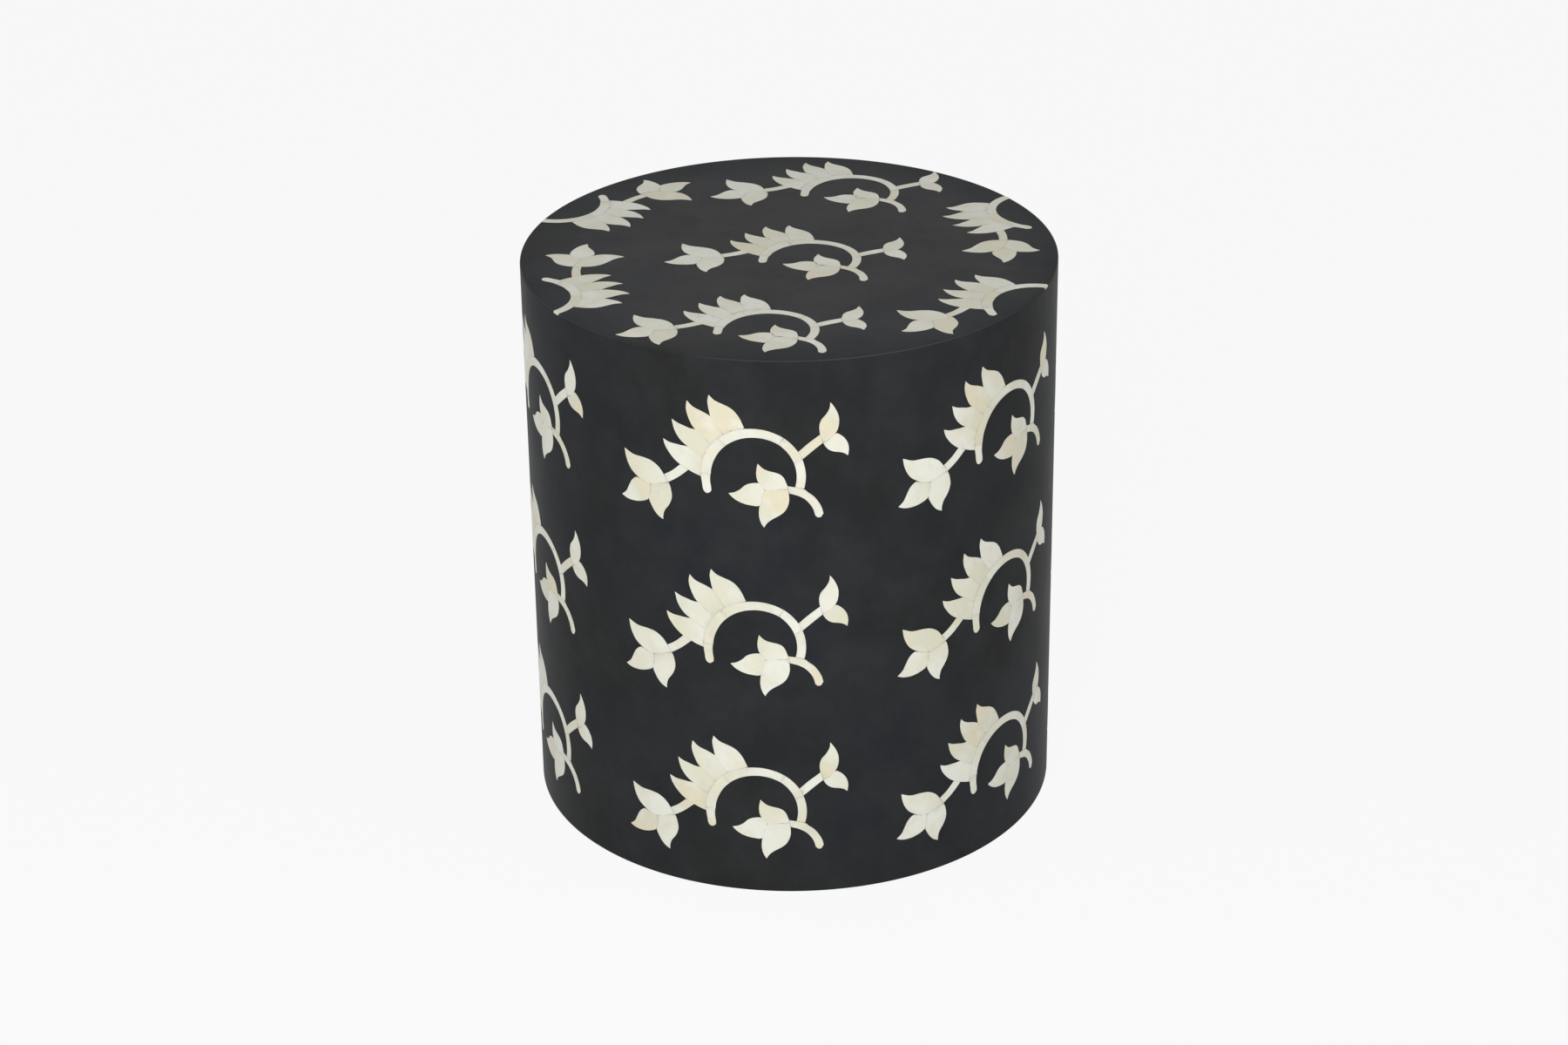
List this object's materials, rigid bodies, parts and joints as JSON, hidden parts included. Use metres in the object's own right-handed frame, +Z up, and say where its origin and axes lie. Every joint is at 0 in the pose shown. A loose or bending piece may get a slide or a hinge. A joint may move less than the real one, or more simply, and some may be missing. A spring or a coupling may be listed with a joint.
{
  "type": "bone inlay drum stool",
  "caption": "Low round drum stool, charcoal resin with sprigs of ivory bone inlaid flush around its side and over its flat top.",
  "frame": {"origin": "middle of the plane that the stool stands on, under the middle of the drum", "axes": "+Z up along the drum's axis; -Y is the front that the picture shows; +X to the right seen from the front"},
  "size_m": [0.406, 0.406, 0.442],
  "materials": {
    "charcoal_resin": "satin, sanded level with the bone and waxed",
    "bone": "satin ivory bone with warm and pale slips",
    "carcass_wood": "plain sawn wood, hidden",
    "felt": "dense felt"
  },
  "bodies": {
    "root": {"resin_side": "charcoal_resin", "resin_top": "charcoal_resin", "side_sprigs_row_1": "bone", "side_sprigs_row_2": "bone", "side_sprigs_row_3": "bone", "top_sprig_centre": "bone", "top_sprig_front": "bone", "top_sprig_back": "bone", "top_sprig_right_front": "bone", "top_sprig_right_back": "bone", "top_sprig_left_back": "bone", "top_sprig_left_front": "bone", "top_board": "carcass_wood", "base_board": "carcass_wood", "stave_1": "carcass_wood", "stave_2": "carcass_wood", "stave_3": "carcass_wood", "stave_4": "carcass_wood", "stave_5": "carcass_wood", "stave_6": "carcass_wood", "stave_7": "carcass_wood", "stave_8": "carcass_wood", "stave_9": "carcass_wood", "stave_10": "carcass_wood", "stave_11": "carcass_wood", "stave_12": "carcass_wood", "felt_pad_1": "felt", "felt_pad_2": "felt", "felt_pad_3": "felt", "felt_pad_4": "felt"}
  },
  "joints": []
}
